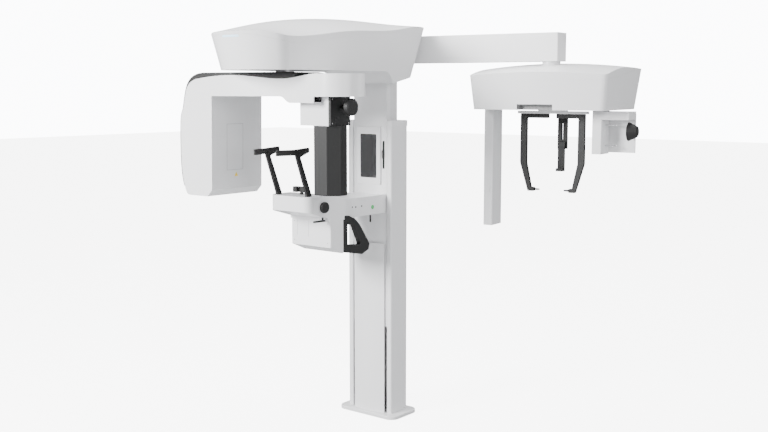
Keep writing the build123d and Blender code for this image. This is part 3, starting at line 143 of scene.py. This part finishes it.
def whiteMat(name, shade, rough, coat):
    m = Mat(name, Metallic=0.0, IOR=1.48, Coat_Weight=coat, Coat_Roughness=0.12)
    blotch = m.noise(moulded["blotch"], 2.0)
    m.set("Base Color", m.mix(blotch, grey(shade), grey(shade * moulded["blotchShade"])))
    m.set("Roughness", rough + m.noise(moulded["patch"], 2.0) * moulded["patchRough"])
    return m.bump(m.noise(moulded["peel"], 2.0), moulded["peelStrength"], moulded["peelDepth"])


# dark or grey plastic with a fine grain
grained = {"blotch": 9.0, "blotchShade": 1.35, "patch": 80.0, "patchRough": 0.12,
           "grainStrength": 0.12, "grainDepth": 0.0004}


def blackMat(name, shade, rough, grain):
    m = Mat(name, Metallic=0.0, IOR=1.46)
    m.set("Base Color", m.mix(m.noise(grained["blotch"]), grey(shade), grey(shade * grained["blotchShade"])))
    m.set("Roughness", rough + m.noise(grained["patch"]) * grained["patchRough"])
    return m.bump(m.noise(grain, 4.0, 0.6), grained["grainStrength"], grained["grainDepth"])


# machined or brushed metal, its lines stretched along one axis
brushing = {"lines": 60.0, "lineShade": 0.86, "lineRough": 0.14, "strength": 0.05, "depth": 0.0003}


def metalMat(name, shade, rough, stretch):
    m = Mat(name, Metallic=1.0)
    lines = m.node("ShaderNodeMapping", Vector=m.coords(), Scale=stretch)
    brushed = m.node("ShaderNodeTexNoise", Vector=lines, Scale=brushing["lines"], Detail=4.0)
    m.set("Base Color", m.mix(brushed, grey(shade), grey(shade * brushing["lineShade"])))
    m.set("Roughness", rough + brushed * brushing["lineRough"])
    return m.bump(brushed, brushing["strength"], brushing["depth"])


white = whiteMat("satinWhite", 0.78, 0.26, 0.25)
paint = whiteMat("columnPaint", 0.76, 0.34, 0.1)
shell = whiteMat("innerShell", 0.70, 0.42, 0.0)
black = blackMat("satinBlack", 0.006, 0.5, 260.0)
dark = blackMat("darkPlastic", 0.012, 0.5, 340.0)
greyPlastic = blackMat("greyPlastic", 0.36, 0.42, 300.0)
panelGrey = blackMat("panelGrey", 0.18, 0.4, 300.0)
aluminium = metalMat("machinedAluminium", 0.72, 0.28, (1.0, 1.0, 24.0))
steel = metalMat("brushedSteel", 0.55, 0.3, (1.0, 1.0, 30.0))
pinSteel = metalMat("pinSteel", 0.78, 0.12, (24.0, 1.0, 1.0))

mirrorMat = Mat("greyMirror", Metallic=1.0)
mirrorMat.set("Base Color", mirrorMat.mix(mirrorMat.noise(2.0), grey(0.12), grey(0.14)))
mirrorMat.set("Roughness", 0.04 + mirrorMat.noise(30.0) * 0.04)

glow = Mat("softBlueLight", Roughness=0.35)
glow.set("Base Color", glow.mix(glow.noise(20.0), (0.45, 0.72, 0.95, 1), (0.55, 0.80, 1.0, 1)))
glow.shader.inputs["Emission Color"].default_value = (0.42, 0.76, 1.0, 1)
glow.shader.inputs["Emission Strength"].default_value = 1.1

green = Mat("greenKey", Roughness=0.3, Coat_Weight=0.4)
green.set("Base Color", green.mix(green.noise(60.0), (0.07, 0.42, 0.13, 1), (0.09, 0.50, 0.16, 1)))

yellow = Mat("yellowLabel", Roughness=0.4)
yellow.set("Base Color", yellow.mix(yellow.noise(80.0), (0.80, 0.58, 0.04, 1), (0.86, 0.64, 0.06, 1)))

look = {
    "head_housing": white, "head_lid": white, "arm_fascia": white, "tube_cover": white,
    "sensor_mount": white, "support_arm": white, "support_box": white, "chin_tray": white,
    "ceph_housing": white, "ceph_lid": white, "lower_moving_cover": white, "upper_moving_cover": white,
    "lower_front_cover": white, "column_cap": white, "mirror_frame": white, "ceph_post": white,
    "sensor_bracket": white, "ceph_rotor": white,
    "left_ear_rod": black, "right_ear_rod": black, "nasion_support": black, "nasion_rest": black,
    "base_plate": paint, "column_profile": paint, "ceph_arm": paint, "ceph_collar": paint,
    "inner_column": shell, "arm_spine": black, "dock_block": black, "sensor": black,
    "left_handle": black, "right_handle": black, "support_lever": black, "left_temple": black,
    "right_temple": black, "chin_rest": black, "bracket_knob": black, "sensor_knob": black,
    "light_track": dark, "light_lever": black, "cable_gland": dark, "up_button": dark,
    "down_button": dark, "light_button": dark, "cord_peg": dark, "start_button": green,
    "ceph_panel": panelGrey, "support_knob": black, "mirror": mirrorMat, "arm_frame": aluminium,
    "head_frame": aluminium, "ceph_frame": aluminium, "guide_blocks": aluminium, "tube_unit": aluminium,
    "guide_rails": steel, "lift_motor": steel, "lift_rod": steel, "pivot_bearing": steel,
    "bracket_pins": pinSteel, "status_light": glow,
}
for name, obj in nodes.items():
    obj.data.materials.clear()
    obj.data.materials.append(look[name].mat)
print("materials set")


# turns a bmesh into a piece that rides on a body
def meshPiece(name, bm, mat, body):
    bmesh.ops.recalc_face_normals(bm, faces=bm.faces)
    data = bpy.data.meshes.new(name)
    bm.to_mesh(data)
    bm.free()
    data.materials.append(mat.mat)
    obj = bpy.data.objects.new(name, data)
    scene.collection.objects.link(obj)
    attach(obj, body)
    return obj


# a closed prism: a loop of corner points pushed along depth
def prism(bm, loop, depth):
    low = [bm.verts.new(p) for p in loop]
    high = [bm.verts.new(Vector(p) + Vector(depth)) for p in loop]
    bm.faces.new(low)
    bm.faces.new(list(reversed(high)))
    for i in range(len(loop)):
        j = (i + 1) % len(loop)
        bm.faces.new((low[j], low[i], high[i], high[j]))


# a flat plate; cut clips its corners, and at two of the four the clipped outline crosses itself
def plate(bm, centre, across, up, wide, tall, depth, cut=0.0):
    c, a, u = Vector(centre), Vector(across).normalized(), Vector(up).normalized()
    w, t = wide / 2, tall / 2
    corners = []
    for sx, sy in ((1, 1), (-1, 1), (-1, -1), (1, -1)):
        if cut:
            corners += [(sx * w, sy * (t - cut)), (sx * (w - cut), sy * t)]
        else:
            corners.append((sx * w, sy * t))
    prism(bm, [c + a * x + u * y for x, y in corners], depth)


# four thin plates round an open rectangle
def frameOf(bm, centre, across, up, wide, tall, line, depth):
    c, a, u = Vector(centre), Vector(across).normalized(), Vector(up).normalized()
    for s in (-1, 1):
        plate(bm, c + u * s * (tall - line) / 2, a, u, wide, line, depth)
        plate(bm, c + a * s * (wide - line) / 2, a, u, line, tall - 2 * line, depth)


# screws, by geometry nodes: a head with a hexagon socket on every point
socketHead = {"sides": 32, "keySides": 6, "keyShare": 0.52, "keyLift": 0.5}


def screwTree():
    tree = bpy.data.node_groups.new("socketScrews", "GeometryNodeTree")
    face = tree.interface
    face.new_socket("Points", in_out="INPUT", socket_type="NodeSocketGeometry")
    for key, kind in (("Radius", "NodeSocketFloat"), ("Height", "NodeSocketFloat"),
                      ("Turn", "NodeSocketVector"), ("Finish", "NodeSocketMaterial")):
        face.new_socket(key, in_out="INPUT", socket_type=kind)
    face.new_socket("Mesh", in_out="OUTPUT", socket_type="NodeSocketGeometry")
    add = tree.nodes.new
    start, end = add("NodeGroupInput"), add("NodeGroupOutput")
    head, key = add("GeometryNodeMeshCylinder"), add("GeometryNodeMeshCylinder")
    head.inputs["Vertices"].default_value = socketHead["sides"]
    key.inputs["Vertices"].default_value = socketHead["keySides"]
    narrow, raised, up = add("ShaderNodeMath"), add("ShaderNodeMath"), add("ShaderNodeCombineXYZ")
    narrow.operation = "MULTIPLY"
    narrow.inputs[1].default_value = socketHead["keyShare"]
    raised.operation = "MULTIPLY"
    raised.inputs[1].default_value = socketHead["keyLift"]
    lift, cut = add("GeometryNodeTransform"), add("GeometryNodeMeshBoolean")
    cut.operation = "DIFFERENCE"
    spread, real = add("GeometryNodeInstanceOnPoints"), add("GeometryNodeRealizeInstances")
    paintIt = add("GeometryNodeSetMaterial")
    link = tree.links.new
    link(start.outputs["Radius"], head.inputs["Radius"])
    link(start.outputs["Height"], head.inputs["Depth"])
    link(start.outputs["Radius"], narrow.inputs[0])
    link(narrow.outputs[0], key.inputs["Radius"])
    link(start.outputs["Height"], key.inputs["Depth"])
    link(start.outputs["Height"], raised.inputs[0])
    link(raised.outputs[0], up.inputs["Z"])
    link(up.outputs[0], lift.inputs["Translation"])
    link(key.outputs["Mesh"], lift.inputs["Geometry"])
    link(head.outputs["Mesh"], cut.inputs[0])
    link(lift.outputs[0], cut.inputs[1])
    link(cut.outputs[0], spread.inputs["Instance"])
    link(start.outputs["Points"], spread.inputs["Points"])
    link(start.outputs["Turn"], spread.inputs["Rotation"])
    link(spread.outputs[0], real.inputs[0])
    link(real.outputs[0], paintIt.inputs["Geometry"])
    link(start.outputs["Finish"], paintIt.inputs["Material"])
    link(paintIt.outputs[0], end.inputs[0])
    return tree


screws = screwTree()


def screwSet(name, points, radius, height, turn, mat, body):
    data = bpy.data.meshes.new(name + "Points")
    data.from_pydata([tuple(p) for p in points], [], [])
    holder = bpy.data.objects.new(name + "Points", data)
    scene.collection.objects.link(holder)
    mod = holder.modifiers.new("screws", "NODES")
    mod.node_group = screws
    ids = {s.name: s.identifier for s in screws.interface.items_tree if s.in_out == "INPUT"}
    mod[ids["Radius"]] = radius
    mod[ids["Height"]] = height
    mod[ids["Turn"]] = turn
    mod[ids["Finish"]] = mat.mat
    holder.update_tag()
    deps = bpy.context.evaluated_depsgraph_get()
    made = bpy.data.meshes.new_from_object(holder.evaluated_get(deps))
    made.name = name
    bpy.data.objects.remove(holder)
    obj = bpy.data.objects.new(name, made)
    if not made.materials:
        made.materials.append(mat.mat)
    scene.collection.objects.link(obj)
    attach(obj, body)
    return obj


anchorBolt = {"x": 0.085, "y": 0.030, "plateTop": 0.0192, "radius": 0.0105, "height": 0.007}
screwSet("anchorBolts", [(sx * anchorBolt["x"], sy * anchorBolt["y"],
                          anchorBolt["plateTop"] + anchorBolt["height"] / 2)
                         for sx in (-1, 1) for sy in (-1, 1)],
         anchorBolt["radius"], anchorBolt["height"], (0, 0, 0), steel, "column")

tubeScrew = {"midX": -0.46, "midY": -0.719, "x": 0.045, "y": 0.12, "sunk": 0.0002,
             "radius": 0.004, "height": 0.0016}
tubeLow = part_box("tube_cover")[0]
screwSet("tubeScrews", [(tubeScrew["midX"] + sx * tubeScrew["x"], tubeScrew["midY"] + sy * tubeScrew["y"],
                         tubeLow.z - tubeScrew["sunk"]) for sx in (-1, 1) for sy in (-1, 1)],
         tubeScrew["radius"], tubeScrew["height"], (radians(180), 0, 0), dark, "c_arm")

dockScrew = {"x": 0.3581, "midY": -0.719, "y": 0.058, "low": 1.634, "high": 1.746,
             "radius": 0.0035, "height": 0.0014}
screwSet("dockScrews", [(dockScrew["x"], dockScrew["midY"] + sy * dockScrew["y"], z)
                        for sy in (-1, 1) for z in (dockScrew["low"], dockScrew["high"])],
         dockScrew["radius"], dockScrew["height"], (0, radians(90), 0), steel, "c_arm")

boxScrew = {"x": 0.115, "y": -0.5432, "low": 1.02, "high": 1.118, "radius": 0.0028, "height": 0.0012}
screwSet("boxScrews", [(sx * boxScrew["x"], boxScrew["y"], z)
                       for sx in (-1, 1) for z in (boxScrew["low"], boxScrew["high"])],
         boxScrew["radius"], boxScrew["height"], (radians(90), 0, 0), greyPlastic, "carriage")
print("screws done")

# inner face of the tube end, which leans: a faint window outline and a plain triangle
tubeFace = {"x": -0.3400, "z": 1.7585, "slope": 10 / 470, "proud": 0.0003}
window = {"y": -0.735, "z": 1.500, "wide": 0.112, "tall": 0.236, "line": 0.0016, "sunk": 0.0006,
          "deep": 0.0009}
hazard = {"y": -0.727, "z": 1.359, "half": 0.012, "low": -0.010, "high": 0.012, "sunk": 0.0004,
          "deep": 0.0008}
alongY, alongZ = (0, 1, 0), (0, 0, 1)


def faceX(z):
    return tubeFace["x"] - (tubeFace["z"] - z) * tubeFace["slope"] + tubeFace["proud"]


bm = bmesh.new()
frameOf(bm, (faceX(window["z"]) - window["sunk"], window["y"], window["z"]), alongY,
        (tubeFace["slope"], 0, 1), window["wide"], window["tall"], window["line"], (window["deep"], 0, 0))
meshPiece("windowOutline", bm, greyPlastic, "c_arm")
bm = bmesh.new()
c = Vector((faceX(hazard["z"]) - hazard["sunk"], hazard["y"], hazard["z"]))
triangle = ((-hazard["half"], hazard["low"]), (hazard["half"], hazard["low"]), (0, hazard["high"]))
prism(bm, [c + Vector((0, y, z)) for y, z in triangle], (hazard["deep"], 0, 0))
meshPiece("hazardMark", bm, yellow, "c_arm")

# dock block: a release key and a parting line
releaseKey = {"at": (0.3580, -0.745, 1.654), "wide": 0.030, "tall": 0.014, "deep": 0.0016, "cut": 0.002}
partLine = {"at": (0.3580, -0.719, 1.679), "wide": 0.132, "tall": 0.0016, "deep": 0.0008}
bm = bmesh.new()
plate(bm, releaseKey["at"], alongY, alongZ, releaseKey["wide"], releaseKey["tall"],
      (releaseKey["deep"], 0, 0), releaseKey["cut"])
plate(bm, partLine["at"], alongY, alongZ, partLine["wide"], partLine["tall"], (partLine["deep"], 0, 0))
meshPiece("dockKey", bm, dark, "c_arm")

# sensor: a thin window frame on the side facing the tube
sensorFrame = {"at": (0.2466, -0.719, 1.46), "wide": 0.108, "tall": 0.29, "line": 0.0018, "deep": 0.0008}
bm = bmesh.new()
frameOf(bm, sensorFrame["at"], alongY, alongZ, sensorFrame["wide"], sensorFrame["tall"],
        sensorFrame["line"], (sensorFrame["deep"], 0, 0))
meshPiece("sensorWindow", bm, dark, "c_arm")

# the start button's ring
ring = {"r": 0.0115, "w": 0.0028, "x": 0.1101, "y": -0.181, "z": 1.172, "deep": 0.0012, "steps": 40}
bm = bmesh.new()
inner = ring["r"] - ring["w"]
rows = [(inner, 0), (ring["r"], 0), (ring["r"], ring["deep"]), (inner, ring["deep"])]
verts = []
for i in range(ring["steps"]):
    turn = tau * i / ring["steps"]
    verts.append([bm.verts.new((ring["x"] + d, ring["y"] + r * cos(turn), ring["z"] + r * sin(turn)))
                  for r, d in rows])
for i in range(ring["steps"]):
    a, b = verts[i], verts[(i + 1) % ring["steps"]]
    for k in range(4):
        bm.faces.new((a[k], b[k], b[(k + 1) % 4], a[(k + 1) % 4]))
meshPiece("startRing", bm, green, "carriage")
print("small pieces done")

# pale floor, bright only where it is seen directly, so it doesn't light the machine from below
room = {"size": 60, "glow": 7.0, "shade": (0.42, 0.425, 0.43, 1)}


def stageMat():
    m = Mat("paleFloor", Roughness=0.9)
    seen = m.node("ShaderNodeLightPath", out="Is Camera Ray")
    m.shader.inputs["Emission Color"].default_value = (1, 1, 1, 1)
    m.set("Emission Strength", seen * room["glow"])
    m.shader.inputs["Base Color"].default_value = room["shade"]
    return m


bpy.ops.mesh.primitive_plane_add(size=room["size"], location=(0, 0, 0))
floor = bpy.context.object
floor.name = "floor"
floor.data.materials.append(stageMat().mat)

# the surroundings: dim as a light, bright where they are seen directly
studio = {"colour": (0.96, 0.97, 1.0, 1), "light": 0.6, "seen": 12.0}
world = bpy.data.worlds.new("studio")
scene.world = world
world.use_nodes = True
wt = world.node_tree
back = wt.nodes["Background"]
back.inputs[0].default_value = studio["colour"]
path, strength = wt.nodes.new("ShaderNodeLightPath"), wt.nodes.new("ShaderNodeMapRange")
strength.inputs["To Min"].default_value = studio["light"]
strength.inputs["To Max"].default_value = studio["seen"]
wt.links.new(path.outputs["Is Camera Ray"], strength.inputs["Value"])
wt.links.new(strength.outputs[0], back.inputs[1])


def softLight(name, where, aim, size, power):
    lamp = bpy.data.lights.new(name, "AREA")
    lamp.size = size
    lamp.energy = power
    obj = bpy.data.objects.new(name, lamp)
    scene.collection.objects.link(obj)
    obj.location = where
    obj.rotation_euler = (Vector(aim) - Vector(where)).to_track_quat("-Z", "Y").to_euler()


lamps = {
    "key": {"where": (-1.6, -5.2, 3.1), "aim": (0.1, -0.3, 1.3), "size": 1.8, "power": 760},
    "fill": {"where": (5.2, -1.6, 2.6), "aim": (0.3, 0.0, 1.2), "size": 2.6, "power": 150},
    "top": {"where": (0.2, 0.2, 5.6), "aim": (0.2, 0, 1.5), "size": 3.0, "power": 400},
}
for name, values in lamps.items():
    softLight(name, **values)

shot = {"where": (3.57876, -4.41726, 1.800), "down": 7.04, "turn": 38.67, "lens": 48.73, "sensor": 36}
camData = bpy.data.cameras.new("shot")
camData.lens = shot["lens"]
camData.sensor_width = shot["sensor"]
cam = bpy.data.objects.new("shot", camData)
scene.collection.objects.link(cam)
cam.location = shot["where"]
cam.rotation_euler = (radians(90 - shot["down"]), 0, radians(shot["turn"]))
scene.camera = cam
print("camera set")
